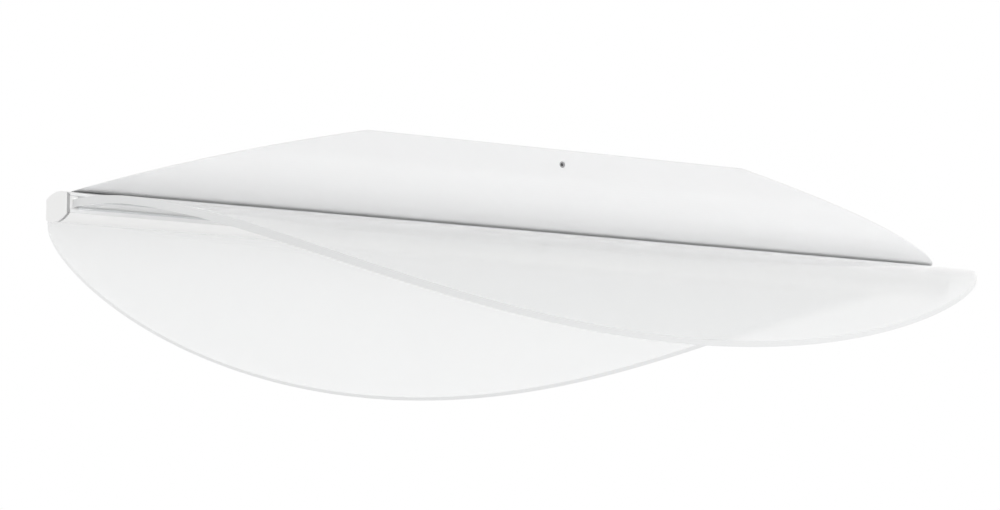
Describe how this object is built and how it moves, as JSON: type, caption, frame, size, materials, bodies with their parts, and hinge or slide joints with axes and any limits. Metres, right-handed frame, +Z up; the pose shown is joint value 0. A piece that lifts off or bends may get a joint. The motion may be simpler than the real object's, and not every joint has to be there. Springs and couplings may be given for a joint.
{
  "type": "led ceiling light",
  "caption": "Ceiling light with a long trough-shaped white canopy, a slim spine under it and two clear arched wings that are lit from their root edges.",
  "frame": {"origin": "middle of the ceiling face, where the bracket's plate lies on the ceiling", "axes": "+X along the spine, +Y towards the far wing, +Z up into the ceiling"},
  "size_m": [0.8166, 0.4996, 0.1758],
  "materials": {
    "painted_shell": "fine satin powder coat, white",
    "painted_profile": "extruded aluminium with a satin white powder coat",
    "white_cover": "satin moulded plastic, white",
    "clear_sheet": "polished clear acrylic sheet with a faint milky tint",
    "zinc_steel": "zinc-plated steel sheet",
    "screw_steel": "zinc-plated steel",
    "set_screw_steel": "blackened steel with a hexagon socket",
    "seal_rubber": "matt grey silicone",
    "grommet_rubber": "matt black rubber",
    "housing_plastic": "matt moulded plastic, off-white",
    "block_plastic": "matt moulded plastic, ivory",
    "brass": "bright brass",
    "board": "white solder mask on aluminium",
    "chip": "light chips with yellow phosphor",
    "lead_earth": "green and yellow insulation",
    "lead_mains": "brown insulation",
    "lead_board": "red insulation"
  },
  "bodies": {
    "bracket": {"ceiling_bracket": "zinc_steel", "cable_grommet": "grommet_rubber"},
    "luminaire": {"canopy_shell": "painted_shell", "side_screw_bushes": "screw_steel", "gear_tray": "zinc_steel", "tray_sleeves": "screw_steel", "spine_screws": "screw_steel", "driver_case": "housing_plastic", "driver_lid": "housing_plastic", "terminal_block": "block_plastic", "terminal_screws": "screw_steel", "gear_screws": "screw_steel", "cable_clamp": "housing_plastic", "earth_stud": "brass", "earth_nut": "brass", "earth_lug": "brass", "earth_lead": "lead_earth", "mains_leads": "lead_mains", "led_leads": "lead_board", "lead_grommet": "grommet_rubber", "spine_profile": "painted_profile", "spine_cover": "white_cover", "end_cap_left": "white_cover", "end_cap_right": "white_cover", "end_seal_left": "seal_rubber", "end_seal_right": "seal_rubber", "wing_near": "clear_sheet", "wing_far": "clear_sheet", "wing_pad_near": "seal_rubber", "wing_pad_far": "seal_rubber", "clamp_strip_near": "zinc_steel", "clamp_strip_far": "zinc_steel", "clamp_screws": "set_screw_steel", "led_board_near": "board", "led_board_far": "board", "led_chips_near": "chip", "led_chips_far": "chip"},
    "side_screw_near": {"side_screw_near": "set_screw_steel"},
    "side_screw_far": {"side_screw_far": "set_screw_steel"}
  },
  "joints": [
    {"name": "canopy_drop", "type": "slide", "parent": "bracket", "child": "luminaire", "axis": [0, 0, -1], "range_m": [0, 0.03]},
    {"name": "side_screw_near_out", "type": "slide", "parent": "luminaire", "child": "side_screw_near", "axis": [0, -1, 0], "range_m": [0, 0.004]},
    {"name": "side_screw_far_out", "type": "slide", "parent": "luminaire", "child": "side_screw_far", "axis": [0, 1, 0], "range_m": [0, 0.004]}
  ]
}
